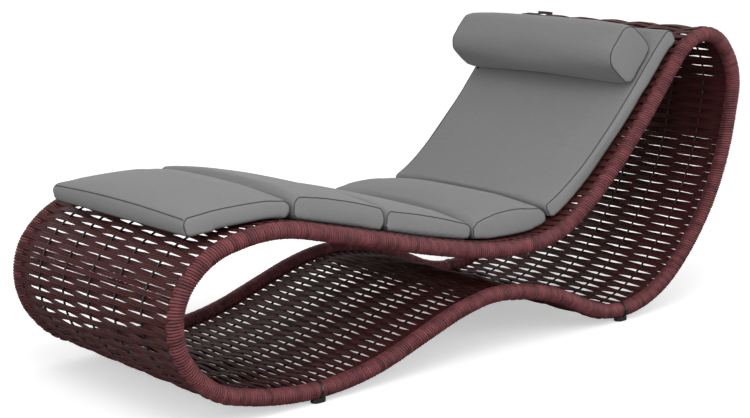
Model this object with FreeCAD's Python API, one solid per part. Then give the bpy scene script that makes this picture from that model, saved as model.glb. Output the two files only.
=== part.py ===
"""Woven loop lounge: two looped rails, an open woven band between them, seat pads and a head pillow.

Millimetres, +Z up. The foot end points to -X, the head end to +X, and the sitter's left side is -Y.
The origin is on the floor, under the middle of the rails.
"""
import FreeCAD
import Part

import math
import os

Vector = FreeCAD.Vector

# Rails: two closed loops that stand side by side
frame_length = 1747.0       # between the outermost corners of the side outline
frame_height = 685.0        # between its lowest and its highest corner
rail_gauge = 640.0          # between the two rails' centre lines
rail_radius = 19.0          # bent pole with its winding
rail_flats = 12             # sides of the winding, which keep a long rail's faces few
seat_gap = 0.3              # left between pieces that rest on each other

# Corners of the side outline, as shares of its length from the foot end and of its height.
# Each corner is rounded by the largest arc that the shorter of its two legs allows.
outline_corners = [
    ("toe_upper", 0.000, 0.393),
    ("toe_crown", 0.048, 0.518),
    ("crest", 0.144, 0.562),
    ("seat_slope", 0.410, 0.385),
    ("seat_front", 0.511, 0.333),
    ("seat_low", 0.620, 0.336),
    ("lumbar", 0.700, 0.467),
    ("back", 0.777, 0.655),
    ("nape", 0.886, 0.977),
    ("head", 0.949, 1.000),
    ("head_rear", 1.000, 0.842),
    ("rear_upper", 0.973, 0.501),
    ("rear_lower", 0.915, 0.244),
    ("heel_rear", 0.830, 0.047),
    ("heel", 0.732, 0.000),
    ("hump_rear", 0.602, 0.155),
    ("hump_top", 0.506, 0.194),
    ("hump_front", 0.441, 0.165),
    ("sole_rear", 0.278, 0.022),
    ("sole", 0.159, 0.012),
    ("toe_sole", 0.047, 0.082),
    ("toe_lower", 0.000, 0.232),
]
corner_share = 0.5          # of the shorter leg, taken up by a corner's arc
rear_joint = ("rear_upper", -136.0)

# Glides under the lowest points, each with a band that ties it to its rail
glide_height = 8.0          # of the rails' undersides above the floor
glide_length = 36.0
glide_width = 24.0
glide_edge = 2.0
tie_width = 5.0
tie_thickness = 1.2

# Cross bars in line with the weave: name, landmark and distance from it along the rail
bar_radius = 6.0
cross_bars = [
    ("toe_bar", "toe_upper", 0.0),
    ("leg_bar", "crest", 226.0),
    ("seat_bar", "seat_front", 80.0),
    ("lumbar_bar", "back", -50.0),
    ("head_bar", "head", 26.0),
    ("rear_bar", "rear_upper", -56.0),
    ("heel_bar", "rear_foot", 60.0),
    ("hump_bar", "hump_top", 0.0),
    ("sole_bar", "front_foot", 60.0),
]

# Woven band: stakes run round the loop, and weavers cross them over one and under the next.
# Each node of weavers reaches from the bar of the same place in the list above to the next bar.
weave_nodes = ["weave_calf", "weave_thigh", "weave_seat", "weave_back", "weave_head",
               "weave_rear", "weave_arch", "weave_sole", "weave_toe"]
weave_level = 13.0          # middle of the band, outward of the rails' centre lines
stake_count = 5
stake_width = 5.0
stake_thickness = 3.0
weaver_pitch = 40.0
weaver_width = 29.0
weaver_thickness = 3.0

# Pads; their edges' heights are told at the foot side, in the middle and at the head side
pad_half_width = 287.0
pad_waist = 4.0             # how far the long sides draw in at the middle of a pad
pad_gap = 5.0
foot_pad_length = 261.0
foot_pad_heights = (42.0, 42.0, 38.0)
foot_pad_overlap = 79.0     # on the head side of its resting point
foot_pad_lean = 5.0         # resting point's distance from the top of the crest
foot_pad_bow = 2500.0       # radius of the part that stands out over the foot end
calf_pad_start = 81.0       # from the top of the crest
calf_pad_length = 258.0
thigh_pad_length = 270.0
seat_pad_length = 264.0
back_pad_length = 596.0
seat_crown = 12.0
back_crown = 6.0
bent_pads = [
    ("calf_pad", calf_pad_length, (34.0, 50.0, 45.0), seat_crown),
    ("thigh_pad", thigh_pad_length, (40.0, 43.0, 35.0), seat_crown),
    ("seat_pad", seat_pad_length, (36.0, 63.0, 36.0), seat_crown),
    ("back_pad", back_pad_length, (40.0, 35.0, 36.0), back_crown),
]
crown_at_ends = 0.3         # share of a pad's crown left at its two ends
crown_fullness = 8          # the higher, the farther towards the ends the full crown reaches
section_spacing = 38.0
seat_trim = 3.0             # cut off a pad's underside to fit what it rests on

# Head pillow, on the straight upper part of the back rest
pillow_place = -234.0       # its middle, from the top of the head end
pillow_half_length = pad_half_width + 1.0
pillow_depth = 136.0        # along the back rest
pillow_height = 120.0
pillow_lift = 0.9           # above the back pad, which it slides along
pillow_end_scale = 0.92     # the ends are smaller, so they clear the strap as well
pillow_lower_round = 20.0
pillow_upper_round = 32.0
pillow_side_bulge = 3.0
pillow_crown = 6.0

# Strap from under the pillow over the head end and round the head bar, with its buckle
strap_side = pad_half_width - 25.0
strap_width = 25.0
strap_thickness = 1.2
strap_start = -290.0        # from the top of the head end
strap_bend = 8.0            # radius over the edge of the back pad
strap_tail = 12.0
buckle_length = 24.0
buckle_width = 33.0
buckle_cover = 5.0          # thickness above the strap

tiny = 1e-6


def direction(heading):
    return Vector(math.cos(heading), 0, math.sin(heading))


def walk(place, heading, bend, distance):
    """Place and heading after going a distance, straight on or on an even bend."""
    ahead = heading + bend * distance
    if bend == 0:
        return place + direction(heading) * distance, heading
    chord = Vector(math.sin(ahead) - math.sin(heading), 0, math.cos(heading) - math.cos(ahead))
    return place + chord * (1 / bend), ahead


class Run:
    """A line of straights and even bends in the XZ plane, with its places told by their distance."""

    def __init__(self, place, heading):
        self.place = place
        self.heading = heading
        self.length = 0.0
        self.pieces = []

    def go(self, length, turn=0.0):
        """Goes on by a length, turning evenly by an angle; left turns are positive."""
        if length < tiny:
            return
        bend = turn / length
        self.pieces.append((self.length, self.place, self.heading, bend))
        self.place, self.heading = walk(self.place, self.heading, bend, length)
        self.length += length

    def stretches(self, start, end):
        """First distance, last distance and bend of each piece between two places."""
        bounds = [piece[0] for piece in self.pieces[1:]] + [end]
        for piece, bound in zip(self.pieces, bounds):
            first = max(piece[0], start)
            last = min(bound, end)
            if last - first > tiny:
                yield first, last, piece[3]

    def follow(self, other, start, end, level):
        """Goes on beside a stretch of another run."""
        for first, last, bend in other.stretches(start, end):
            self.go((last - first) * (1 - bend * level), (last - first) * bend)

    def pose(self, distance, level=0.0):
        """Place and heading at a distance, a level outward of the run."""
        begin, place, heading, bend = [p for p in self.pieces if p[0] <= distance + tiny][-1]
        place, heading = walk(place, heading, bend, distance - begin)
        return place + direction(heading + math.pi / 2) * level, heading

    def spot(self, distance, level, side=0.0):
        return self.pose(distance, level)[0] + Vector(0, side, 0)

    def edges(self, start, end, level):
        """The run's lines and arcs between two places, drawn a level outward of it."""
        found = []
        for first, last, bend in self.stretches(start, end):
            points = [self.spot(distance, level) for distance in (first, (first + last) / 2, last)]
            curve = Part.Arc(*points) if bend else Part.LineSegment(points[0], points[2])
            found.append(curve.toShape())
        return found


def lay_outline(shift):
    """The rails' side outline from the middle of the foot end, and the places of its arcs.

    It is laid twice round, so that a stretch can pass the foot end.
    """
    corners = [Vector(x * frame_length, 0, z * frame_height) + shift for _, x, z in outline_corners]
    legs = [after - before for before, after in zip(corners, corners[1:] + corners[:1])]
    headings = [math.atan2(leg.z, leg.x) for leg in legs]
    reaches = [corner_share * min(legs[i - 1].Length, legs[i].Length) for i in range(len(legs))]
    run = Run(corners[-1] + legs[-1] * 0.5, headings[-1])
    arcs = {}
    for lap in range(2):
        for i, (name, _, _) in enumerate(outline_corners):
            straight = legs[i - 1].Length - reaches[i - 1] - reaches[i]
            if i == 0:
                straight = legs[-1].Length / 2 - reaches[0]
            run.go(straight)
            turn = (headings[i] - headings[i - 1] + math.pi) % (2 * math.pi) - math.pi
            radius = reaches[i] / math.tan(abs(turn) / 2)
            arcs.setdefault(name, (run.length, radius * abs(turn)))
            run.go(radius * abs(turn), turn)
        run.go(legs[-1].Length / 2 - reaches[-1])
    return run, arcs


def level_place(name):
    """Where a named corner's arc lies level."""
    begin, length = arcs[name]
    _, _, heading, bend = [piece for piece in outline.pieces if piece[0] == begin][0]
    level = round((heading + bend * length / 2) / math.pi) * math.pi
    return begin + (level - heading) / bend


def landmark(name, distance=0.0):
    """A place on the rails, by its distance from the middle of a named corner or from a foot."""
    if name in feet:
        return feet[name] + distance
    begin, length = arcs[name]
    return begin + length / 2 + distance


def save(name, shape):
    shape.exportStep("parts/" + name + ".step")


def rail(start, end, side):
    """A rail along a stretch of the outline, with flats all round."""
    line = Part.Wire(outline.edges(start, end, 0))
    step = 2 * math.pi / rail_flats
    angles = [step * (i + 0.5) for i in range(rail_flats)]
    corners = [outline.spot(start, rail_radius * math.cos(angle), rail_radius * math.sin(angle))
               for angle in angles]
    ring = Part.makePolygon(corners + corners[:1])
    solid = line.makePipeShell([ring], True, False)
    solid.translate(Vector(0, side, 0))
    return solid


def band(run, start, end, level, thickness, width, side):
    """A flat band along a stretch of a run, its width lying sideways."""
    inner = run.edges(start, end, level - thickness / 2)
    outer = run.edges(start, end, level + thickness / 2)
    ends = []
    for distance in (start, end):
        points = [run.spot(distance, level + half * thickness) for half in (-0.5, 0.5)]
        ends.append(Part.LineSegment(*points).toShape())
    outline_wire = Part.Wire(Part.__sortEdges__(inner + outer + ends))
    solid = Part.Face(outline_wire).extrude(Vector(0, width, 0))
    solid.translate(Vector(0, side - width / 2, 0))
    return solid


def block(place, heading, length, width, height):
    """A box lying on a place, its length along a heading."""
    solid = Part.makeBox(length, width, height, Vector(-length / 2, -width / 2, 0))
    turn = FreeCAD.Rotation(Vector(0, 1, 0), -math.degrees(heading))
    solid.Placement = FreeCAD.Placement(place, turn)
    return solid


def rail_space(distance, side, radius, reach):
    """The straight round space that a rail takes up near a place."""
    place, heading = outline.pose(distance)
    start = place - direction(heading) * reach + Vector(0, side, 0)
    return Part.makeCylinder(radius, 2 * reach, start, direction(heading))


def cross_bar(distance):
    """A bar from rail to rail, its ends hollowed to fit them."""
    start = outline.spot(distance, weave_level, -rail_gauge / 2)
    bar = Part.makeCylinder(bar_radius, rail_gauge, start, Vector(0, 1, 0))
    for side in rail_sides.values():
        bar = bar.cut(rail_space(distance, side, rail_radius + seat_gap, 2 * bar_radius))
    return bar


def glide(distance, side):
    """A foot with rounded ends, hollowed to fit its rail and the tie round it."""
    place = outline.spot(distance, 0, side)
    middle = Vector(place.x, place.y, 0)
    top = place.z
    half = glide_length / 2 - glide_width / 2
    body = block(middle, 0, 2 * half, glide_width, top)
    for end in (-half, half):
        body = body.fuse(Part.makeCylinder(glide_width / 2, top, middle + Vector(end, 0, 0)))
    body = body.removeSplitter()
    rim = [edge for edge in body.Edges if edge.BoundBox.ZMax < tiny]
    body = body.makeChamfer(glide_edge / 2, rim)
    body = body.cut(rail_space(distance, side, rail_radius + seat_gap, glide_length))
    groove = rail_radius + tie_thickness + 2 * seat_gap
    return body.cut(rail_space(distance, side, groove, tie_width / 2 + seat_gap))


def tie(distance, side):
    """The band round a rail that holds its glide."""
    outer = rail_space(distance, side, rail_radius + seat_gap + tie_thickness, tie_width / 2)
    return outer.cut(rail_space(distance, side, rail_radius + seat_gap, tie_width))


def weaver_places(stops):
    """Evenly spaced places between stops, each with the room it leaves to the next weaver.

    A bar takes a weaver's place; a foot stands in the gap between two.
    """
    places = []
    for (start, lead), (end, trail) in zip(stops, stops[1:]):
        steps = round((end - start) / weaver_pitch - lead - trail)
        pitch = (end - start) / (steps + lead + trail)
        places += [start + (lead + step) * pitch for step in range(steps + 1)]
    return places


def weaver(distance, number):
    """One weaver, over and under the stakes from rail to rail."""
    place, heading = outline.pose(distance)
    rises = [0.0] + [weaver_rise * (-1) ** (number + i) for i in range(stake_count)] + [0.0]
    sides = [-weaver_end] + stake_sides + [weaver_end]
    upper = []
    lower = []
    for side, rise in zip(sides, rises):
        upper.append(outline.spot(distance, weave_level + rise + weaver_thickness / 2, side))
        lower.append(outline.spot(distance, weave_level + rise - weaver_thickness / 2, side))
    face = Part.Face(Part.makePolygon(upper + lower[::-1] + upper[:1]))
    solid = face.extrude(direction(heading) * weaver_width)
    solid.translate(direction(heading) * (-weaver_width / 2))
    return solid


def pad_height(share, heights):
    """Height of a pad's edges at a share of its length."""
    first, middle, last = heights
    return (first * (1 - share) * (1 - 2 * share) + middle * 4 * share * (1 - share)
            + last * share * (2 * share - 1))


def pad_section(run, distance, share, heights, crown):
    """A pad's outline across, at a share of its length."""
    height = pad_height(share, heights)
    fullness = 1 - (1 - crown_at_ends) * (2 * share - 1) ** crown_fullness
    half = pad_half_width - pad_waist * math.sin(math.pi * share)

    def spot(side, level):
        return run.spot(distance, rest_level + level, side)

    corners = [spot(half, -seat_trim), spot(half, height),
               spot(-half, height), spot(-half, -seat_trim)]
    top = Part.Arc(corners[1], spot(0, height + crown * fullness), corners[2]).toShape()
    straight = [Part.LineSegment(corners[i - 1], corners[i]).toShape() for i in (1, 3, 0)]
    return Part.Wire([straight[0], top] + straight[1:])


def pad(run, start, length, heights, crown):
    """A box pad that follows a run, crowned on top and trimmed to what it rests on."""
    steps = max(2, round(length / section_spacing))
    shares = [step / steps for step in range(steps + 1)]
    sections = [pad_section(run, start + share * length, share, heights, crown)
                for share in shares]
    trim = band(run, start, start + length, 0, 2 * rest_level, rail_gauge, 0)
    return Part.makeLoft(sections, True, True).cut(trim)


def pillow_section(side):
    """The pillow's outline at a place sideways, following the back pad's crown."""
    share = side / pillow_half_length
    scale = 1 - (1 - pillow_end_scale) * share ** 4
    half = pillow_depth / 2 * scale
    height = pillow_height * scale
    bottom = pillow_level + back_crown * (1 - share ** 2) + (pillow_height - height) / 2
    place, heading = outline.pose(pillow_middle, bottom)
    diagonal = 1 - math.sqrt(0.5)

    def spot(along, up):
        return place + direction(heading) * along + direction(heading + math.pi / 2) * up + Vector(0, side, 0)

    def half_outline(way):
        low, high = pillow_lower_round * scale, pillow_upper_round * scale
        return [
            (way * (half - low), 0),
            (way * (half - low * diagonal), low * diagonal),
            (way * half, low),
            (way * (half + pillow_side_bulge), (low + height - high) / 2),
            (way * half, height - high),
            (way * (half - high * diagonal), height - high * diagonal),
            (way * (half - high), height),
        ]

    points = [spot(*point) for point in half_outline(1)]
    points.append(spot(0, height + pillow_crown))
    points += [spot(*point) for point in half_outline(-1)[::-1]]
    edges = [Part.Arc(*points[i:i + 3]).toShape() for i in range(0, len(points) - 2, 2)]
    edges.append(Part.LineSegment(points[-1], points[0]).toShape())
    return Part.Wire(edges)


def strap_run():
    """The strap's middle line: over the back pad, down to the weave and round the head bar."""
    start = landmark("head", strap_start)
    run = Run(*outline.pose(start, strap_pad_level))
    run.follow(outline, start, back_end + seat_gap, strap_pad_level)
    nearest = back_end
    farthest = bars["head_bar"]
    while farthest - nearest > tiny:
        landing = (nearest + farthest) / 2
        goal, heading = outline.pose(landing, strap_weave_level)
        turn = heading - run.heading
        place, _ = walk(run.place, run.heading, -1 / strap_bend, -turn * strap_bend)
        if (place - goal).dot(direction(heading + math.pi / 2)) > 0:
            nearest = landing
        else:
            farthest = landing
    run.go(-turn * strap_bend, turn)
    run.go((goal - place).dot(direction(heading)))
    run.follow(outline, landing, bars["head_bar"], strap_weave_level)
    run.go(math.pi * (strap_weave_level - weave_level), -math.pi)
    run.go(strap_tail)
    return run, landing


def buckle(distance):
    """A buckle that bridges the strap where it lies on the weave."""
    place, heading = outline.pose(distance, rest_level)
    strap_room = strap_weave_level + strap_thickness / 2 + seat_gap - rest_level
    body = block(place, heading, buckle_length, buckle_width, strap_room + buckle_cover)
    room = block(place - direction(heading + math.pi / 2) * strap_room, heading,
                 2 * buckle_length, strap_width + 2 * seat_gap, 2 * strap_room)
    body = body.cut(room)
    body.translate(Vector(0, strap_side, 0))
    return body


# The outline stands on the glides, with its middle over the origin
outline, arcs = lay_outline(Vector(0, 0, 0))
bounds = Part.Wire(outline.edges(0, outline.length / 2, 0)).BoundBox
shift = Vector(-bounds.Center.x, 0, glide_height + rail_radius + seat_gap - bounds.ZMin)
outline, arcs = lay_outline(shift)
lap = outline.length / 2
feet = {"front_foot": level_place("sole"), "rear_foot": level_place("heel")}
crest_top = level_place("crest")
bars = {name: landmark(mark, distance) for name, mark, distance in cross_bars}
rail_sides = {"left": -rail_gauge / 2, "right": rail_gauge / 2}

# Levels of the weave and of what lies on it; a flat weaver needs room over the tightest bend
tightest_bend = min(1 / abs(piece[3]) for piece in outline.pieces if piece[3])
weaver_bow = weaver_width ** 2 / (8 * (tightest_bend + weave_level))
weaver_rise = stake_thickness / 2 + weaver_thickness / 2 + weaver_bow + 2 * seat_gap
weaver_low = weave_level - weaver_thickness / 2 - weaver_bow
weaver_end = rail_gauge / 2 - math.sqrt(rail_radius ** 2 - weaver_low ** 2) - seat_gap
stake_sides = [rail_gauge * ((i + 1) / (stake_count + 1) - 0.5) for i in range(stake_count)]
weave_top = weave_level + max(bar_radius, weaver_rise + weaver_thickness / 2)
rest_level = max(rail_radius, weave_top) + seat_gap

os.makedirs("parts", exist_ok=True)

# Rails, each side in two lengths that meet at the foot end and behind the head
for hand, side in rail_sides.items():
    joint = landmark(*rear_joint)
    save("upper_rail_" + hand, rail(0, joint, side))
    save("lower_rail_" + hand, rail(joint, lap, side))

# Glides and their ties
foot_places = [(distance, side) for distance in feet.values() for side in rail_sides.values()]
save("glides", Part.Compound([glide(*place) for place in foot_places]))
save("glide_ties", Part.Compound([tie(*place) for place in foot_places]))

# Cross bars
for name, distance in bars.items():
    save(name, cross_bar(distance))

# Stakes, each in lengths between the bars
bar_places = list(bars.values()) + [bars["toe_bar"] + lap]
bar_room = bar_radius + 2 * seat_gap
for i, side in enumerate(stake_sides):
    lengths = [band(outline, start + bar_room, end - bar_room, weave_level,
                    stake_thickness, stake_width, side)
               for start, end in zip(bar_places, bar_places[1:])]
    save("stake_" + str(i + 1), Part.Compound(lengths))

# Weavers, bay by bay, taking turns all the way round
number = 0
for node, start, end in zip(weave_nodes, bar_places, bar_places[1:]):
    stops = [(start, 1.0)] + [(foot, 0.5) for foot in feet.values() if start < foot < end]
    stops.append((end, 1.0))
    weavers = []
    for distance in weaver_places(stops):
        number += 1
        weavers.append(weaver(distance, number))
    number += 1
    save(node, Part.Compound(weavers))

# Pads follow the rails, but the foot pad's front part stands out over the foot end
rest = crest_top - foot_pad_lean
foot_pad_front = foot_pad_length - foot_pad_overlap
foot_line = Run(*walk(*outline.pose(rest), -1 / foot_pad_bow, -foot_pad_front))
foot_line.go(foot_pad_front, -foot_pad_front / foot_pad_bow)
foot_line.follow(outline, rest, rest + foot_pad_overlap, 0)
save("foot_pad", pad(foot_line, 0, foot_pad_length, foot_pad_heights, seat_crown))
pad_start = crest_top + calf_pad_start
for name, length, heights, crown in bent_pads:
    save(name, pad(outline, pad_start, length, heights, crown))
    back_end = pad_start + length
    pad_start = back_end + pad_gap

# Head pillow
_, back_length, back_heights, _ = bent_pads[-1]
pillow_middle = landmark("head", pillow_place)
pillow_share = 1 - (back_end - pillow_middle) / back_length
pillow_level = rest_level + pad_height(pillow_share, back_heights) + pillow_lift
pillow_shares = (-1, -0.85, -0.5, 0, 0.5, 0.85, 1)
pillow_sections = [pillow_section(share * pillow_half_length) for share in pillow_shares]
save("head_pillow", Part.makeLoft(pillow_sections, True, True))

# Strap and buckle
strap_inner_share = (strap_side - strap_width / 2) / pad_half_width
strap_pad_level = (rest_level + back_heights[-1] + back_crown * (1 - strap_inner_share ** 2)
                   + seat_gap + strap_thickness / 2)
strap_weave_level = weave_level + bar_radius + seat_gap + strap_thickness / 2
strap_line, strap_landing = strap_run()
save("pillow_strap", band(strap_line, 0, strap_line.length, 0,
                          strap_thickness, strap_width, strap_side))
save("strap_buckle", buckle(strap_landing + buckle_length / 2))
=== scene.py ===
"""Visual model of the woven loop lounge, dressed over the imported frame.

Metres, +Z up. The foot end points to -X, the head end to +X, and the sitter's left side is -Y.
Run as a script it builds every piece in turn; its panel lists the same steps one by one.
"""

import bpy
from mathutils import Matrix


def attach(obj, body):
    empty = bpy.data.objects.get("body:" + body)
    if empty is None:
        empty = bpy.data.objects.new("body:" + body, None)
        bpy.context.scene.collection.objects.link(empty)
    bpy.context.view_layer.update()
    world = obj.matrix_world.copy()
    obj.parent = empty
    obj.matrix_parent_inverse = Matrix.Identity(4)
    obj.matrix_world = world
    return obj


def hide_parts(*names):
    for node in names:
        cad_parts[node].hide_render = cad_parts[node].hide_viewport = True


bl_info = {
    "name": "Woven loop lounge",
    "version": (1, 0, 0),
    "blender": (4, 5, 0),
    "location": "View3D > Sidebar > Lounge",
    "description": "Builds the wound rails, woven band, pads and pillow of a woven loop lounge",
    "category": "Object",
}

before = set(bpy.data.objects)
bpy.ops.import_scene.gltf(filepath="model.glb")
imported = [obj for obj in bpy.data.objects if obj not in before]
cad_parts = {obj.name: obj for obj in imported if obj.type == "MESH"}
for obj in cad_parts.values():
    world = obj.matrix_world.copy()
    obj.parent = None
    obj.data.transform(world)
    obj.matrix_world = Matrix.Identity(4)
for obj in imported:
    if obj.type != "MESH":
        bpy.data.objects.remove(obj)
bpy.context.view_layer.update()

import bpy
import bmesh

import math

from bpy.props import (FloatProperty, FloatVectorProperty, IntProperty, PointerProperty)
from mathutils import Matrix, Vector
from mathutils.kdtree import KDTree

# Corners of the side outline, as shares of its length from the foot end and of its height
OUTLINE_CORNERS = (
    ("toe_upper", 0.000, 0.393), ("toe_crown", 0.048, 0.518), ("crest", 0.144, 0.562),
    ("seat_slope", 0.410, 0.385), ("seat_front", 0.511, 0.333), ("seat_low", 0.620, 0.336),
    ("lumbar", 0.700, 0.467), ("back", 0.777, 0.655), ("nape", 0.886, 0.977),
    ("head", 0.949, 1.000), ("head_rear", 1.000, 0.842), ("rear_upper", 0.973, 0.501),
    ("rear_lower", 0.915, 0.244), ("heel_rear", 0.830, 0.047), ("heel", 0.732, 0.000),
    ("hump_rear", 0.602, 0.155), ("hump_top", 0.506, 0.194), ("hump_front", 0.441, 0.165),
    ("sole_rear", 0.278, 0.022), ("sole", 0.159, 0.012), ("toe_sole", 0.047, 0.082),
    ("toe_lower", 0.000, 0.232),
)
# Cross bars: node, corner and distance from it along the rails
CROSS_BARS = (
    ("toe_bar", "toe_upper", 0.0), ("leg_bar", "crest", 0.226), ("seat_bar", "seat_front", 0.080),
    ("lumbar_bar", "back", -0.050), ("head_bar", "head", 0.026), ("rear_bar", "rear_upper", -0.056),
    ("heel_bar", "rear_foot", 0.060), ("hump_bar", "hump_top", 0.0),
    ("sole_bar", "front_foot", 0.060),
)
WEAVE_NODES = ("weave_calf", "weave_thigh", "weave_seat", "weave_back", "weave_head",
               "weave_rear", "weave_arch", "weave_sole", "weave_toe")
# Pads that follow the rails: node, length, edge height at foot side, middle and head side, crown
BENT_PADS = (
    ("calf_pad", 0.258, (0.048, 0.055, 0.049), 0.006),
    ("thigh_pad", 0.270, (0.046, 0.048, 0.036), 0.006),
    ("seat_pad", 0.264, (0.036, 0.063, 0.036), 0.008),
    ("back_pad", 0.600, (0.040, 0.036, 0.040), 0.004),
)
# How far each pad reaches sideways at its foot side and head side: to the left, to the right.
# The pads lie loose, a little nearer to the left rail at the foot end.
PAD_SIDES = {
    "foot_pad": ((0.299, 0.294), (0.240, 0.241)),
    "calf_pad": ((0.292, 0.290), (0.243, 0.252)),
    "thigh_pad": ((0.289, 0.288), (0.256, 0.268)),
    "seat_pad": ((0.288, 0.288), (0.272, 0.280)),
    "back_pad": ((0.288, 0.307), (0.285, 0.300)),
}
# The bays whose rows lie closer together, so that hardly any light passes them.
DENSE_WEAVES = ("weave_sole", "weave_arch", "weave_thigh", "weave_seat", "weave_head")
TOP_INSET = 0.006         # how far a pad's top edges lie inside its lower ones
REST_GAP = 0.0004         # left under the pads
ROW_OVERREACH = 0.006     # how far a row ends past a rail's centre line
RISE_START = 0.030        # from a row's end, where it begins to rise over the rail
RISE_END = 0.014
DIP_START = 0.012         # from a row's end, where it begins to dip under the winding
ROW_STRAY_SCALE = 38.0    # waves a metre in the strands' unevenness
WINDING_STRAY_SCALE = 110.0
WINDING_STRAY = 0.0028
FRONT_PANEL_SHARE = 0.94  # of the foot pad's height, up to its front seam
FRONT_SEAM_STEPS = 60
ROW_POINTS = 67           # places along one woven row, rail to rail
STRAND_SIDES = 5
TINY = 1e-9


def linear(code):
    """Linear colour of an sRGB hex code."""
    channels = [int(code[i:i + 2], 16) / 255 for i in (1, 3, 5)]
    return tuple(c / 12.92 if c <= 0.04045 else ((c + 0.055) / 1.055) ** 2.4 for c in channels)


def length_value(name, description, default):
    return FloatProperty(name=name, description=description, default=default, unit="LENGTH",
                         precision=4)


def colour_value(name, description, code):
    return FloatVectorProperty(name=name, description=description, default=linear(code),
                               subtype="COLOR", size=3, min=0.0, max=1.0)


# Sizes and colours that a user would change

class LoungeRails(bpy.types.PropertyGroup):
    outline_length: length_value("Outline length", "Between the outermost corners", 1.747)
    outline_height: length_value("Outline height", "Between lowest and highest corner", 0.685)
    gauge: length_value("Gauge", "Between the two rails' centre lines", 0.640)
    standing: length_value("Standing height", "Centre line above the floor at its lowest", 0.0273)
    radius: length_value("Radius", "Rail with its winding", 0.019)
    strand: length_value("Strand width", "One turn of the winding", 0.0062)
    starts: IntProperty(name="Starts", description="Strands wound side by side", default=2)
    turn_points: IntProperty(name="Turn points", description="Points in one turn", default=18)


class LoungeWeave(bpy.types.PropertyGroup):
    level: length_value("Level", "Middle of the band, outward of the rails' centre lines", 0.0120)
    row_pitch: length_value("Row pitch", "From one woven row to the next", 0.01235)
    swing: length_value("Swing", "How far a row passes over and under the stakes", 0.0048)
    strand: length_value("Strand", "Diameter of one strand", 0.0047)
    dense_strand: length_value("Dense strand", "Diameter where the rows lie closer", 0.0064)
    strands: IntProperty(name="Strands", description="Strands in one row", default=3)
    rail_rise: length_value("Rail rise", "The swing where a row passes over a rail", 0.0066)
    end_dip: length_value("End dip", "How far a row's end dips under the winding", 0.0045)
    stakes: IntProperty(name="Stakes", description="Stakes between the rails", default=5)
    stake_radius: length_value("Stake radius", "Radius of one stake", 0.0026)
    bar_radius: length_value("Bar radius", "Cross bar inside its row", 0.0035)
    bar_level: length_value("Bar level", "Cross bars, outward of the rails' centre lines", 0.013)
    wander: length_value("Wander", "How far strands stray from their line", 0.0009)


class LoungePads(bpy.types.PropertyGroup):
    waist: length_value("Waist", "How far a pad's sides draw in at its middle", 0.004)
    gap: length_value("Gap", "Between neighbouring pads", 0.005)
    rest_level: length_value("Rest level", "Underside, outward of the centre lines", 0.01934)
    foot_length: length_value("Foot pad length", "Length of the foot pad", 0.261)
    foot_overlap: length_value("Foot pad overlap", "Behind its resting point", 0.079)
    foot_lean: length_value("Foot pad lean", "Resting point before the crest's top", 0.005)
    foot_bow: length_value("Foot pad bow", "Radius of its part over the foot end", 2.5)
    calf_start: length_value("Calf pad start", "Behind the crest's top", 0.081)
    corner: length_value("Corner", "Rounding of a pad's side panels", 0.012)
    grain: length_value("Grain", "Size of the mesh that is inflated", 0.006)
    welt: length_value("Welt radius", "Radius of the cord sewn into the seams", 0.0013)
    pressure: FloatProperty(name="Pressure", description="Pressure of the filling", default=4.0)


class LoungePillow(bpy.types.PropertyGroup):
    place: length_value("Place", "Its middle, from the top of the head end", -0.234)
    half_length: length_value("Half length", "From its middle to an end", 0.288)
    depth: length_value("Depth", "Along the back rest", 0.136)
    height: length_value("Height", "Away from the back rest", 0.124)
    lift: length_value("Lift", "Above the back pad, which it slides along", 0.0009)
    lower_round: length_value("Lower round", "Rounding next to the back pad", 0.026)
    upper_round: length_value("Upper round", "Rounding away from it", 0.042)


class LoungeColours(bpy.types.PropertyGroup):
    weave: colour_value("Weave", "Woven strands", "#451a19")
    winding: colour_value("Winding", "Strands wound round the rails", "#6f3a3e")
    cover: colour_value("Cover", "Cloth of pads and pillow", "#858585")
    welt: colour_value("Welt", "Cord in the seams", "#4a4a4a")
    stake: colour_value("Stake", "Coated rods", "#141112")
    fitting: colour_value("Fitting", "Glides, ties, strap and buckle", "#161616")


class LoungeStage(bpy.types.PropertyGroup):
    camera_place: FloatVectorProperty(name="Camera place", description="Where the camera stands",
                                      default=(-2.60496, -3.06002, 1.13189), subtype="XYZ",
                                      unit="LENGTH")
    yaw: FloatProperty(name="Yaw", description="Camera's turn about the vertical",
                       default=math.radians(-39.51), subtype="ANGLE")
    pitch: FloatProperty(name="Pitch", description="Camera's view downwards",
                         default=math.radians(11.65), subtype="ANGLE")
    roll: FloatProperty(name="Roll", description="Camera's tilt", default=math.radians(-1.0),
                        subtype="ANGLE")
    lens: FloatProperty(name="Lens", description="Focal length in millimetres", default=80.27)
    floor: colour_value("Floor", "Floor under the object", "#808080")


# The rails' side outline

def direction(heading):
    return Vector((math.cos(heading), 0, math.sin(heading)))


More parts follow.
